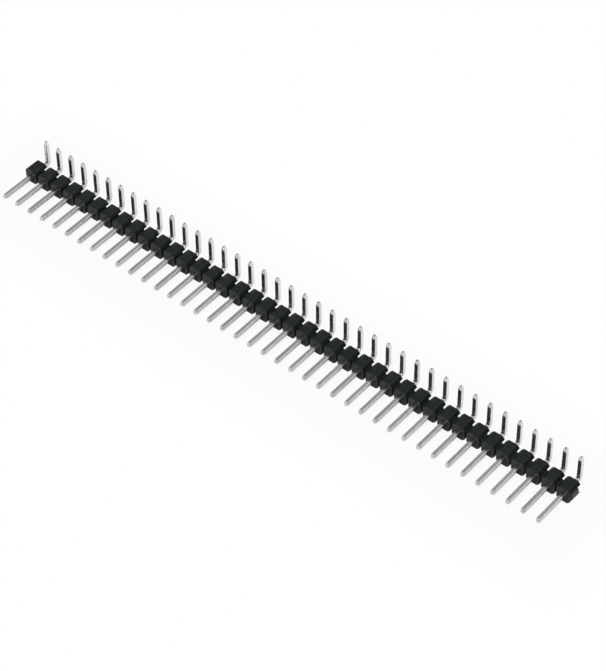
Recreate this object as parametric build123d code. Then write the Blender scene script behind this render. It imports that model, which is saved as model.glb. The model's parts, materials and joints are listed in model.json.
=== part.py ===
# Right-angle pin header strip: one row of bent square pins in a break-away insulator.
# Millimetres. X runs along the row, the contacts point to -Y and the solder tails point up (+Z).
# The origin is the middle of the strip's footprint, on the surface that the insulator lies on.
import os
from math import atan2, degrees

from build123d import *

# Row
pin_count = 40
pitch = 2.54

# Square wire pins
pin_side = 0.64
contact_length = 5.97        # front face of the insulator to the contact tip
tail_length = 3.18           # board face of the insulator to the solder tip
tail_offset = 1.36           # rear face of the insulator to the middle of the tails
bend_inner_radius = 0.3
contact_tip_length = 0.36    # coined, four-sided taper
tail_tip_length = 0.55
tip_side_share = 0.62        # width left at the very tip, of the pin's side

# Insulator: octagonal cells on a thin breaking web
insulator_height = 2.54
insulator_depth = 2.4        # along the contacts
cell_width = 2.22
cell_chamfer = 0.41
web_height = 1.08
web_front_setback = 0.3      # the web stays behind the front face of the cells
channel_depth = 0.55         # relief channel along the rear face, down to the web
channel_height = 1.44
hole_clearance = 0.01        # on each side of a pin
cut_overrun = 0.5

# Places that follow from the sizes
row_length = pin_count * pitch
reach = contact_length + insulator_depth + tail_offset + pin_side / 2
contact_end = -reach / 2
front_face = contact_end + contact_length
rear_face = front_face + insulator_depth
tail_axis = rear_face + tail_offset
pin_axis = insulator_height / 2
tail_end = insulator_height + tail_length
web_depth = insulator_depth - web_front_setback - channel_depth
bend_radius = bend_inner_radius + pin_side / 2
hole_side = pin_side + 2 * hole_clearance
tip_inset = pin_side * (1 - tip_side_share) / 2


def pin_places():
    # Middle of each cell along the row
    first = -row_length / 2 + pitch / 2
    return [first + i * pitch for i in range(pin_count)]


def cell_outline():
    # One cell seen along its pin: a rectangle with its corners cut to an octagon
    with BuildSketch() as outline:
        Rectangle(cell_width, insulator_height)
        chamfer(outline.vertices(), cell_chamfer)
    return outline.sketch


def make_insulator():
    # The view along the pins is drawn on a plane that faces the contacts
    cells = [(x, 0) for x in pin_places()]
    front_plane = Plane(origin=(0, front_face, pin_axis), x_dir=(1, 0, 0), z_dir=(0, -1, 0))
    web_plane = front_plane.offset(-web_front_setback)
    rear_plane = front_plane.offset(-insulator_depth)
    with BuildPart() as insulator:
        # Breaking web, cut off half a pitch beyond the end pins
        with BuildSketch(web_plane):
            Rectangle(row_length, web_height)
        extrude(amount=-web_depth)
        # Row of octagonal cells
        with BuildSketch(front_plane):
            with Locations(*cells):
                add(cell_outline())
        extrude(amount=-insulator_depth)
        # Relief channel along the whole rear face
        with BuildSketch(rear_plane):
            Rectangle(row_length + 2 * cut_overrun, channel_height)
        extrude(amount=channel_depth, mode=Mode.SUBTRACT)
        # Square holes for the pins
        with BuildSketch(front_plane):
            with Locations(*cells):
                Rectangle(hole_side, hole_side)
        extrude(amount=-insulator_depth, mode=Mode.SUBTRACT)
    return insulator.part


def coined_tip(end_plane, tip_length):
    # The square end drawn in evenly on all four sides
    with BuildPart() as tip:
        with BuildSketch(end_plane):
            Rectangle(pin_side, pin_side)
        extrude(amount=tip_length, taper=degrees(atan2(tip_inset, tip_length)))
    return tip.part


def make_pin():
    # Square wire swept round its bend, then coined at both ends, in the middle of the row
    contact_shoulder = (0, contact_end + contact_tip_length, pin_axis)
    corner = (0, tail_axis, pin_axis)
    tail_shoulder = (0, tail_axis, tail_end - tail_tip_length)
    contact_plane = Plane(origin=contact_shoulder, x_dir=(1, 0, 0), z_dir=(0, -1, 0))
    tail_plane = Plane(origin=tail_shoulder, x_dir=(1, 0, 0), z_dir=(0, 0, 1))
    with BuildPart() as pin:
        with BuildLine() as wire:
            FilletPolyline(contact_shoulder, corner, tail_shoulder, radius=bend_radius)
        with BuildSketch(contact_plane):
            Rectangle(pin_side, pin_side)
        sweep(path=wire.line)
        add(coined_tip(contact_plane, contact_tip_length))
        add(coined_tip(tail_plane, tail_tip_length))
    return pin.part


os.makedirs("parts", exist_ok=True)
export_step(make_insulator(), "parts/insulator_strip.step")
pin = make_pin()
for number, place in enumerate(pin_places(), start=1):
    export_step(Pos(place, 0, 0) * pin, f"parts/pin_{number:02d}.step")
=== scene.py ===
# Right-angle pin header strip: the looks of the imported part, in its own frame
import json
from math import cos, radians, sin

import bmesh
import bpy
from mathutils import Matrix, Vector

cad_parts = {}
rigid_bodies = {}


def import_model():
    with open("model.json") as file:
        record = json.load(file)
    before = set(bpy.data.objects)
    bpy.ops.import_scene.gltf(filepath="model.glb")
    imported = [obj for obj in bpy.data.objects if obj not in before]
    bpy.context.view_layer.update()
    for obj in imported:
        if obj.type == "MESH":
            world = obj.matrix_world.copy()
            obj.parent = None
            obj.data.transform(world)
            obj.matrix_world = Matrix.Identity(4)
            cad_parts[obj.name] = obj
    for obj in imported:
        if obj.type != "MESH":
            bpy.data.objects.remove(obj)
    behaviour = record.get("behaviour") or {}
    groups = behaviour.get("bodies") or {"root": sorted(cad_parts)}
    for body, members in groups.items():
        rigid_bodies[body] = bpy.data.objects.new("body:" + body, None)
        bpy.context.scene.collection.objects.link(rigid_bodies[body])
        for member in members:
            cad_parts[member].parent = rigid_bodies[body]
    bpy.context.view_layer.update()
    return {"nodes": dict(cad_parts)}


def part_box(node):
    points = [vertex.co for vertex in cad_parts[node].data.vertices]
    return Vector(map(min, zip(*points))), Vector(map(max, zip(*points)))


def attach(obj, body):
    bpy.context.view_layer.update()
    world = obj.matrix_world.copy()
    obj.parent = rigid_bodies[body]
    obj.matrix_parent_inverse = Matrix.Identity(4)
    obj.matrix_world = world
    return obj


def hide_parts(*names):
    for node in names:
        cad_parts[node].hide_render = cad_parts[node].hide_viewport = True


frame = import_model()
mm = 0.001         # pieces are modelled in millimetres and brought to metres when they are done
close = 1e-4       # places this near each other are the same
cutReach = 1e-6    # corners this near a cutting plane lie on it
facing = 0.99      # part of a normal that counts as facing along an axis
rightAngle = radians(90)

# Sizes that the frame gives, in millimetres
bodyLow, bodyHigh = (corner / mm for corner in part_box("insulator_strip"))
wireLow, wireHigh = (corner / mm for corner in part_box("pin_01"))
pinNames = sorted(name for name in frame["nodes"] if name.startswith("pin_"))
rowLength = bodyHigh.x - bodyLow.x
pitch = rowLength / len(pinNames)
frontFace, rearFace = bodyLow.y, bodyHigh.y
pinSide = wireHigh.x - wireLow.x
pinAxis = wireLow.z + pinSide / 2
contactEnd, tailEnd = wireLow.y, wireHigh.z
tailAxis = wireHigh.y - pinSide / 2
print("frame:", len(pinNames), "pins at", round(pitch, 3), "mm")


# Hand tools

def clearDesk():
    if bpy.context.object and bpy.context.object.mode != "OBJECT":
        bpy.ops.object.mode_set(mode="OBJECT")
    bpy.ops.object.select_all(action="DESELECT")


def takeUp(piece):
    # the only piece selected, and the active one
    clearDesk()
    piece.select_set(True)
    bpy.context.view_layer.objects.active = piece


def addBlock(name, low, high):
    # a block between two corners, left in object mode with its place in its mesh
    clearDesk()
    low, high = Vector(low), Vector(high)
    bpy.ops.mesh.primitive_cube_add(size=1, location=(low + high) / 2, scale=high - low)
    bpy.ops.object.transform_apply(location=True, rotation=True, scale=True)
    block = bpy.context.object
    block.name = name
    block.data.name = name
    return block


def near(a, b):
    return abs(a - b) < close


def pick(piece, kind, wanted):
    # selects only what passes the test: faces by middle and normal, edges by both ends, corners by place
    bpy.ops.mesh.select_mode(type=kind)
    bpy.ops.mesh.select_all(action="DESELECT")
    shape = bmesh.from_edit_mesh(piece.data)
    shape.normal_update()
    if kind == "FACE":
        chosen = [f for f in shape.faces if wanted(f.calc_center_median(), f.normal)]
    elif kind == "EDGE":
        chosen = [e for e in shape.edges if wanted(*(v.co for v in e.verts))]
    else:
        chosen = [v for v in shape.verts if wanted(v.co)]
    for part in chosen:
        part.select_set(True)
    shape.select_flush_mode()
    bmesh.update_edit_mesh(piece.data)


def cutAlong(piece, place, normal, wanted):
    # cuts the wanted faces along a plane and keeps both sides
    pick(piece, "FACE", wanted)
    bpy.ops.mesh.bisect(plane_co=place, plane_no=normal, threshold=cutReach)


def drawOut(way):
    bpy.ops.mesh.extrude_region_move(TRANSFORM_OT_translate={"value": way})


def faceOutward():
    bpy.ops.mesh.select_all(action="SELECT")
    bpy.ops.mesh.normals_make_consistent(inside=False)


def alongPin(a, b):
    # an edge that runs the way the contacts point
    return near(a.x, b.x) and near(a.z, b.z)


def applyModifier(piece, kind, **settings):
    bpy.context.view_layer.objects.active = piece
    modifier = piece.modifiers.new(kind.lower(), kind)
    for name, value in settings.items():
        setattr(modifier, name, value)
    bpy.ops.object.modifier_apply(modifier=modifier.name)


def finishShape(piece, smoothAngle):
    # smooth over the rounded edges, flat on the faces, then millimetres to metres
    takeUp(piece)
    bpy.ops.object.shade_smooth_by_angle(angle=radians(smoothAngle))
    applyModifier(piece, "WEIGHTED_NORMAL", keep_sharp=True)
    piece.scale = (mm, mm, mm)
    bpy.ops.object.transform_apply(location=False, rotation=False, scale=True)


# Insulator: octagonal cells on a breaking web, millimetres and degrees

cell = {
    "width": 2.22,
    "chamfer": 0.41,
    "webHeight": 1.08,
    "webSetback": 0.3,        # behind the front face
    "channelDepth": 0.55,     # relief channel along the rear face
    "channelHeight": 1.44,
    "holeClearance": 0.01,
    "drillOverrun": 1.0,
    "edgeRound": 0.03,
    "roundSteps": 2,
    "roundFrom": 30,          # edges sharper than this are rounded
    "smoothAngle": 40,
    "breakDepth": 0.035,      # the two snapped web ends are sunk by this, and uneven by as much
    "breakCuts": 7,
    "breakSeed": 4,
}


def makeCell():
    # one cell round x = 0, with open web stubs that reach half a pitch to each side
    half = cell["width"] / 2
    webFront = frontFace + cell["webSetback"]
    webRear = rearFace - cell["channelDepth"]
    webLow, webHigh = (pinAxis + way * cell["webHeight"] / 2 for way in (-1, 1))
    channelLow, channelHigh = (pinAxis + way * cell["channelHeight"] / 2 for way in (-1, 1))

    def onSide(middle, normal):
        return abs(normal.x) > facing

    def besideWeb(middle, normal):
        return onSide(middle, normal) and webFront < middle.y < webRear

    def atRear(middle, normal):
        return middle.y > webRear + close and (onSide(middle, normal) or normal.y > facing)

    def inChannel(v):
        return near(v.y, webRear) and near(abs(v.x), half) and channelLow - close < v.z < channelHigh + close

    body = addBlock("insulatorBody", (-half, frontFace, bodyLow.z), (half, rearFace, bodyHigh.z))
    bpy.ops.object.mode_set(mode="EDIT")
    # four corners cut to an octagon
    pick(body, "EDGE", alongPin)
    bpy.ops.mesh.bevel(offset=cell["chamfer"], segments=1, affect="EDGES")
    # web: a patch on each side drawn out, and left open where the next cell joins
    for y in (webFront, webRear):
        cutAlong(body, (0, y, 0), (0, 1, 0), onSide)
    for z in (webLow, webHigh):
        cutAlong(body, (0, 0, z), (0, 0, 1), besideWeb)
    for way in (-1, 1):
        pick(body, "FACE", lambda m, n: besideWeb(m, n) and near(m.z, pinAxis) and m.x * way > 0)
        drawOut((way * (pitch / 2 - half), 0, 0))
        bpy.ops.mesh.delete(type="FACE")
    # relief channel: the middle of the rear face taken out, its walls and floor filled again
    for z in (channelLow, channelHigh):
        cutAlong(body, (0, 0, z), (0, 0, 1), atRear)
    pick(body, "FACE", lambda m, n: atRear(m, n) and near(m.z, pinAxis))
    bpy.ops.mesh.delete(type="FACE")
    for z in (channelLow, channelHigh):
        pick(body, "VERT", lambda v: near(v.z, z) and v.y > webRear - close)
        bpy.ops.mesh.edge_face_add()
    pick(body, "VERT", inChannel)
    bpy.ops.mesh.edge_face_add()
    faceOutward()
    bpy.ops.object.mode_set(mode="OBJECT")
    return body


def drillHole(body):
    # square hole for the pin
    half = pinSide / 2 + cell["holeClearance"]
    low = (-half, frontFace - cell["drillOverrun"], pinAxis - half)
    high = (half, rearFace + cell["drillOverrun"], pinAxis + half)
    drill = addBlock("drill", low, high)
    applyModifier(body, "BOOLEAN", operation="DIFFERENCE", object=drill, solver="EXACT")
    bpy.data.objects.remove(drill)


def joinRow(body):
    # the cells of the whole row, joined web to web and closed at both ends
    body.data.transform(Matrix.Translation((bodyLow.x + pitch / 2, 0, 0)))
    applyModifier(
        body, "ARRAY", count=len(pinNames), use_relative_offset=False, use_constant_offset=True,
        constant_offset_displace=(pitch, 0, 0), use_merge_vertices=True, merge_threshold=close,
    )
    takeUp(body)
    bpy.ops.object.mode_set(mode="EDIT")
    bpy.ops.mesh.select_mode(type="EDGE")
    bpy.ops.mesh.select_all(action="DESELECT")
    bpy.ops.mesh.select_non_manifold()
    bpy.ops.mesh.fill_holes(sides=0)    # 0 takes holes with any number of sides
    bpy.ops.object.mode_set(mode="OBJECT")


def roughenEnds(body):
    # the outer ends of the web were snapped off, so they are sunk a little and uneven inside their rims
    bpy.ops.object.mode_set(mode="EDIT")
    for way in (-1, 1):
        pick(body, "FACE", lambda m, n: n.x * way > facing and near(m.x * way, rowLength / 2))
        bpy.ops.mesh.subdivide(number_cuts=cell["breakCuts"], ngon=False)
        bpy.ops.mesh.select_less()
        bpy.ops.transform.translate(value=(-way * cell["breakDepth"], 0, 0))
        bpy.ops.transform.vertex_random(offset=cell["breakDepth"], normal=1.0, seed=cell["breakSeed"])
    # faces of more than four sides split into even triangles
    bpy.ops.mesh.select_mode(type="FACE")
    bpy.ops.mesh.select_face_by_sides(number=4, type="GREATER", extend=False)
    bpy.ops.mesh.quads_convert_to_tris(ngon_method="BEAUTY")
    faceOutward()
    bpy.ops.object.mode_set(mode="OBJECT")


def makeInsulator(finish):
    body = makeCell()
    drillHole(body)
    joinRow(body)
    applyModifier(
        body, "BEVEL", width=cell["edgeRound"], segments=cell["roundSteps"],
        limit_method="ANGLE", angle_limit=radians(cell["roundFrom"]),
    )
    roughenEnds(body)
    finishShape(body, cell["smoothAngle"])
    body.data.materials.clear()
    body.data.materials.append(finish)
    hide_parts("insulator_strip")
    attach(body, "root")
    print("insulator:", len(body.data.polygons), "faces")


# Pins: square wire, bent once and coined at both ends, millimetres and degrees

wire = {
    "bendInnerRadius": 0.3,
    "bendSteps": 10,
    "contactTip": 0.36,
    "tailTip": 0.55,
    "tipShare": 0.62,         # width left at the very tip
    "edgeRound": 0.09,
    "edgeSteps": 4,
    "shoulderRound": 0.06,    # where the coined taper starts
    "tipRound": 0.06,
    "tipSteps": 3,
    "smoothAngle": 40,
}


def makePin():
    half = pinSide / 2
    bendRadius = wire["bendInnerRadius"] + half
    bendStart = tailAxis - bendRadius
    bendEnd = pinAxis + bendRadius
    contactShoulder = contactEnd + wire["contactTip"]
    tailShoulder = tailEnd - wire["tailTip"]
    share = wire["tipShare"]

    def edgesAt(y, z):
        # edges that lie across the contact at y or across the tail at z
        return lambda a, b: (near(a.y, y) and near(b.y, y)) or (near(a.z, z) and near(b.z, z))

    pin = addBlock("pinMaster", (-half, contactShoulder, pinAxis - half), (half, bendStart, pinAxis + half))
    bpy.ops.object.mode_set(mode="EDIT")
    # rounded edges first, so that they follow the wire round its bend
    pick(pin, "EDGE", alongPin)
    bpy.ops.mesh.bevel(offset=wire["edgeRound"], segments=wire["edgeSteps"], affect="EDGES")
    # bend, then the upright tail and its tip
    pick(pin, "FACE", lambda m, n: n.y > facing)
    bpy.ops.mesh.spin(
        steps=wire["bendSteps"], angle=-rightAngle, center=(0, bendStart, bendEnd), axis=(1, 0, 0),
    )
    drawOut((0, 0, tailShoulder - bendEnd))
    drawOut((0, 0, wire["tailTip"]))
    bpy.ops.transform.resize(value=(share, share, 1), center_override=(0, tailAxis, tailEnd))
    # contact tip
    pick(pin, "FACE", lambda m, n: n.y < -facing and near(m.y, contactShoulder))
    drawOut((0, -wire["contactTip"], 0))
    bpy.ops.transform.resize(value=(share, 1, share), center_override=(0, contactEnd, pinAxis))
    # coined shoulders and blunt ends softened
    pick(pin, "EDGE", edgesAt(contactShoulder, tailShoulder))
    bpy.ops.mesh.bevel(offset=wire["shoulderRound"], segments=wire["tipSteps"], affect="EDGES")
    pick(pin, "EDGE", edgesAt(contactEnd, tailEnd))
    bpy.ops.mesh.bevel(offset=wire["tipRound"], segments=wire["tipSteps"], affect="EDGES")
    faceOutward()
    bpy.ops.object.mode_set(mode="OBJECT")
    finishShape(pin, wire["smoothAngle"])
    return pin


def makePinRow(finish):
    # one pin made once, and a copy of its own for each place in the row
    master = makePin()
    for name in pinNames:
        low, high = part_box(name)
        pin = master.copy()
        pin.data = master.data.copy()
        pin.name = name.replace("pin_", "pinWire")
        pin.data.name = pin.name
        bpy.context.scene.collection.objects.link(pin)
        pin.data.transform(Matrix.Translation(((low.x + high.x) / 2, 0, 0)))
        pin.data.materials.append(finish)
        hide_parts(name)
        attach(pin, "root")
    print("pins:", len(pinNames), "bent wires of", len(master.data.polygons), "faces")
    bpy.data.objects.remove(master)


# Shader maths

class Socket:
    # one node socket; sums on it add Math nodes to its tree
    def __init__(self, tree, plug=None):
        self.tree = tree
        self.plug = plug

    def node(self, kind, settings=None, inputs=None, output=0):
        made = self.tree.nodes.new(kind)
        for name, value in (settings or {}).items():
            setattr(made, name, value)
        for name, value in (inputs or {}).items():
            if isinstance(value, Socket):
                self.tree.links.new(value.plug, made.inputs[name])
            else:
                made.inputs[name].default_value = value
        return Socket(self.tree, made.outputs[output]) if len(made.outputs) else None

    def maths(self, operation, *values):
        return self.node("ShaderNodeMath", {"operation": operation}, dict(enumerate(values)))

    def __add__(self, other):
        return self.maths("ADD", self, other)

    def __sub__(self, other):
        return self.maths("SUBTRACT", self, other)

    def __mul__(self, other):
        return self.maths("MULTIPLY", self, other)

    def __radd__(self, other):
        return self.maths("ADD", other, self)

    def __rsub__(self, other):
        return self.maths("SUBTRACT", other, self)

    def __rmul__(self, other):
        return self.maths("MULTIPLY", other, self)

    def __abs__(self):
        return self.maths("ABSOLUTE", self)

    def part(self, axis):
        return self.node("ShaderNodeSeparateXYZ", None, {"Vector": self}, axis)

    def stretch(self, scale):
        return self.node("ShaderNodeMapping", None, {"Vector": self, "Scale": scale})

    def noise(self, size=1.0, detail=2.0, rough=0.5):
        return self.node("ShaderNodeTexNoise", None,
                         {"Vector": self, "Scale": 1 / size, "Detail": detail, "Roughness": rough})

    def fade(self, low, high):
        # 0 below low, 1 above high, smooth between
        return self.node("ShaderNodeMapRange", {"interpolation_type": "SMOOTHSTEP"},
                         {"Value": self, "From Min": low, "From Max": high})

    def blend(self, first, second):
        # from the first colour at 0 to the second at 1; a Mix node's colours go in at 6 and 7 and out at 2
        settings = {"data_type": "RGBA", "clamp_factor": False}
        return self.node("ShaderNodeMix", settings, {0: self, 6: first, 7: second}, 2)

    def bump(self, depth, strength):
        # the depth is in millimetres
        return self.node("ShaderNodeBump", None,
                         {"Height": self, "Strength": strength, "Distance": depth * mm})


def newTree(owner):
    owner.use_nodes = True
    owner.node_tree.nodes.clear()
    return Socket(owner.node_tree)


def inMillimetres(start):
    return start.node("ShaderNodeTexCoord", output="Object").stretch((1 / mm, 1 / mm, 1 / mm))


# Black moulded plastic, sizes in millimetres

plastic = {
    "deep": (0.003, 0.0052, 0.0054, 1),
    "pale": (0.0048, 0.0074, 0.0078, 1),
    "broken": (0.08, 0.08, 0.078, 1),
    "fleck": (0.05, 0.05, 0.05, 1),
    "gloss": 0.42,
    "rough": 0.28,
    "roughSpread": 0.08,
    "grainSize": 0.09,       # moulded texture
    "grainDetail": 4.0,
    "grainFine": 0.6,        # weight of its finer steps
    "grainDepth": 0.0035,
    "grainStrength": 0.25,
    "blotchSize": 2.0,
    "blotchDetail": 3.0,
    "blotchFrom": 0.3,       # where the deep tone starts to pale, and where it is pale
    "blotchFull": 0.7,
    "fleckSize": 0.22,
    "fleckDetail": 1.0,
    "fleckFrom": 0.74,       # only the peaks of the noise show as flecks
    "fleckFull": 0.78,
    "fleckShare": 0.5,
    "breakReach": 0.07,      # how far in from the snapped ends the paler face shows
    "breakFull": 0.03,
    "breakEven": 0.5,        # share of its paleness that is even, and the rest follows the grain
    "breakRough": 0.25,
}


def mouldedPlastic():
    finish = bpy.data.materials.new("mouldedPlastic")
    start = newTree(finish)
    place = inMillimetres(start)
    blotch = place.noise(plastic["blotchSize"], plastic["blotchDetail"])
    grain = place.noise(plastic["grainSize"], plastic["grainDetail"], plastic["grainFine"])
    speck = place.noise(plastic["fleckSize"], plastic["fleckDetail"])
    speck = speck.fade(plastic["fleckFrom"], plastic["fleckFull"])
    rowEnd = rowLength / 2
    broken = abs(place.part("X")).fade(rowEnd - plastic["breakReach"], rowEnd - plastic["breakFull"])
    snapped = broken * (plastic["breakEven"] + grain * (1 - plastic["breakEven"]))
    paleness = blotch.fade(plastic["blotchFrom"], plastic["blotchFull"])
    colour = paleness.blend(plastic["deep"], plastic["pale"])
    colour = (speck * plastic["fleckShare"]).blend(colour, plastic["fleck"])
    colour = snapped.blend(colour, plastic["broken"])
    # a noise is a half on average, so two of them less 1 go as far down as up
    rough = plastic["rough"] + (blotch + grain - 1) * plastic["roughSpread"] + broken * plastic["breakRough"]
    shader = start.node("ShaderNodeBsdfPrincipled", None, {
        "Base Color": colour,
        "Roughness": rough,
        "Specular IOR Level": plastic["gloss"],
        "Normal": grain.bump(plastic["grainDepth"], plastic["grainStrength"]),
    })
    start.node("ShaderNodeOutputMaterial", None, {"Surface": shader})
    return finish


# Bright tin plate on the pins, sizes in millimetres

plate = {
    "bright": (0.79, 0.785, 0.757, 1),
    "dull": (0.65, 0.645, 0.62, 1),
    "dullFrom": 0.36,        # where the bright tone starts to dull, and where it is dull
    "dullFull": 0.68,
    "pinShare": 0.6,         # how much of the dullness changes from pin to pin, and the rest within one
    "rough": 0.22,
    "roughSpread": 0.08,
    "lineSize": 0.03,        # drawing lines along the wire
    "lineLength": 2.0,
    "lineDetail": 3.0,
    "lineDepth": 0.0008,
    "lineStrength": 0.15,
    "blotchSize": 0.7,
    "blotchDetail": 3.0,
}


def brightPlate():
    finish = bpy.data.materials.new("brightPlate")
    start = newTree(finish)
    place = inMillimetres(start)
    thin, long = 1 / plate["lineSize"], 1 / plate["lineLength"]
    onContact = place.stretch((thin, long, thin)).noise(detail=plate["lineDetail"])
    onTail = place.stretch((thin, thin, long)).noise(detail=plate["lineDetail"])
    upright = place.part("Z").fade(pinAxis + pinSide / 2, pinAxis + pinSide)
    lines = onContact + upright * (onTail - onContact)
    blotch = place.noise(plate["blotchSize"], plate["blotchDetail"])
    eachPin = place.stretch((1 / pitch, 0, 0)).noise()    # changes along the row alone
    dullness = blotch + (eachPin - blotch) * plate["pinShare"]
    colour = dullness.fade(plate["dullFrom"], plate["dullFull"]).blend(plate["bright"], plate["dull"])
    shader = start.node("ShaderNodeBsdfPrincipled", None, {
        "Base Color": colour,
        "Metallic": 1.0,
        "Roughness": plate["rough"] + (blotch + lines - 1) * plate["roughSpread"],
        "Normal": lines.bump(plate["lineDepth"], plate["lineStrength"]),
    })
    start.node("ShaderNodeOutputMaterial", None, {"Surface": shader})
    return finish


# Table, surroundings and light, metres

table = {
    "size": 20.0,
    "drop": 0.00002,                     # below the moulding's underside
    "colour": (0.72, 0.72, 0.715, 1),
    "white": (1, 1, 1, 1),
    "seenGlow": 0.9,                     # share of even white that the camera sees beside the strip
    "whiteDepth": (0.006, 0.018),        # how far to the sides of the row it starts to grow, and is whole
    "whiteLength": (0.052, 0.064),       # and how far along the row, from its middle
    "mirroredGlow": 0.85,                # share that the pins mirror, clear of the strip's own shade
    "shadeFront": (-0.0065, -0.0045),    # where that shade starts, round the contacts' tips
    "shadeRear": (0.002, 0.008),         # and where it ends, round the tails
}


def layTable():
    clearDesk()
    bpy.ops.mesh.primitive_plane_add(size=table["size"], location=(0, 0, -table["drop"]))
    top = bpy.context.object
    top.name = "tableTop"
    bpy.ops.object.transform_apply(location=True, rotation=True, scale=True)
    finish = bpy.data.materials.new("paleTable")
    start = newTree(finish)
    seen = start.node("ShaderNodeLightPath", output="Is Camera Ray")
    through = start.node("ShaderNodeLightPath", output="Is Transmission Ray")
    mirrored = start.node("ShaderNodeLightPath", output="Is Glossy Ray")
    place = start.node("ShaderNodeTexCoord", output="Object")
    along, across = place.part("X"), place.part("Y")
    beside = (1 - abs(across).fade(*table["whiteDepth"])) * (1 - abs(along).fade(*table["whiteLength"]))
    even = 1 - beside * (1 - table["seenGlow"])
    clear = 1 - across.fade(*table["shadeFront"]) + across.fade(*table["shadeRear"])
    share = (seen + through) * even + mirrored * clear * table["mirroredGlow"]
    paint = start.node("ShaderNodeBsdfDiffuse", None, {"Color": table["colour"]})
    white = start.node("ShaderNodeEmission", None, {"Color": table["white"], "Strength": 1.0})
    surface = start.node("ShaderNodeMixShader", None, {0: share, 1: paint, 2: white})
    start.node("ShaderNodeOutputMaterial", None, {"Surface": surface})
    top.data.materials.append(finish)


room = {
    "seen": (1, 1, 1, 1),
    "dark": (0, 0, 0, 1),
    "tint": (0.98, 1.0, 1.02, 1),   # a little cool
    "overhead": 0.37,
    "overheadFall": (-0.4, 1.0),    # it darkens to the near end of the row, between these parts along X
    "horizon": 0.8,
    "bandLow": 0.05,                # height where the horizon starts to fade, and where it has faded
    "bandHigh": 0.28,
    # pale windows: way to the middle, level, and the degrees out where they start and are full
    "panes": [
        {"way": (0.25, 0.525, 0.81), "level": 1.9, "edge": 27, "full": 22},       # on the rounded edges
        {"way": (-0.44, -0.05, 0.896), "level": 0.85, "edge": 16, "full": 10},    # on the coined tips
    ],
}


def lightRoom():
    world = bpy.data.worlds.new("studio")
    bpy.context.scene.world = world
    start = newTree(world)
    way = start.node("ShaderNodeTexCoord", output="Generated")
    height = way.part("Z").fade(room["bandLow"], room["bandHigh"])
    overhead = (1 - way.part("X").fade(*room["overheadFall"])) * room["overhead"]
    level = room["horizon"] + height * (overhead - room["horizon"])
    for pane in room["panes"]:
        middle = Vector(pane["way"]).normalized()
        toMiddle = sum((way.part(axis) * part for axis, part in zip("XYZ", middle)), 0)
        share = toMiddle.fade(cos(radians(pane["edge"])), cos(radians(pane["full"])))
        level = level + share * (pane["level"] - level)
    colour = level.blend(room["dark"], room["tint"])
    colour = start.node("ShaderNodeLightPath", output="Is Camera Ray").blend(colour, room["seen"])
    glow = start.node("ShaderNodeBackground", None, {"Color": colour, "Strength": 1.0})
    start.node("ShaderNodeOutputWorld", None, {"Surface": glow})


softbox = {
    "way": (0.22, -0.6, 0.75),    # from the origin
    "distance": 0.7,
    "size": 0.28,
    "power": 3.0,                 # watts
}


def hangSoftbox():
    clearDesk()
    way = Vector(softbox["way"]).normalized()
    bpy.ops.object.light_add(type="AREA", location=way * softbox["distance"])
    lamp = bpy.context.object
    lamp.name = "softbox"
    lamp.data.size = softbox["size"]
    lamp.data.energy = softbox["power"]
    lamp.rotation_mode = "QUATERNION"
    lamp.rotation_quaternion = way.to_track_quat("Z", "Y")


# Camera, worked out from the pins' edges: millimetres and degrees

view = {
    "azimuth": 39.991,
    "elevation": 46.781,
    "roll": -0.552,
    "distance": 374.603,
    "aim": (2.172, -1.282, -2.235),    # from the middle of the row, the tails' front face and the pins' axis
    "focalPixels": 2600.07,
    "imageHeight": 671,                # the longer side of the picture, which the sensor spans
    "sensor": 36.0,
    "clip": (0.01, 50.0),              # metres
}


def placeCamera():
    clearDesk()
    azimuth, elevation, roll = (radians(view[name]) for name in ("azimuth", "elevation", "roll"))
    back = Vector((sin(azimuth) * cos(elevation), -cos(azimuth) * cos(elevation), sin(elevation)))
    side = (-back).cross(Vector((0, 0, 1))).normalized()
    up = side.cross(-back)
    right = side * cos(roll) + up * sin(roll)
    top = up * cos(roll) - side * sin(roll)
    aim = Vector(view["aim"]) + Vector((0, tailAxis - pinSide / 2, pinAxis))
    turn = Matrix((right, top, back)).transposed().to_4x4()
    bpy.ops.object.camera_add()
    camera = bpy.context.object
    camera.name = "photoCamera"
    camera.matrix_world = Matrix.Translation((aim + back * view["distance"]) * mm) @ turn
    camera.data.sensor_width = view["sensor"]
    camera.data.lens = view["sensor"] * view["focalPixels"] / view["imageHeight"]
    camera.data.clip_start, camera.data.clip_end = view["clip"]
    bpy.context.scene.camera = camera


makeInsulator(mouldedPlastic())
makePinRow(brightPlate())
layTable()
lightRoom()
hangSoftbox()
print("table and light: set")
placeCamera()
bpy.context.scene.view_settings.view_transform = "Standard"
print("camera: placed")
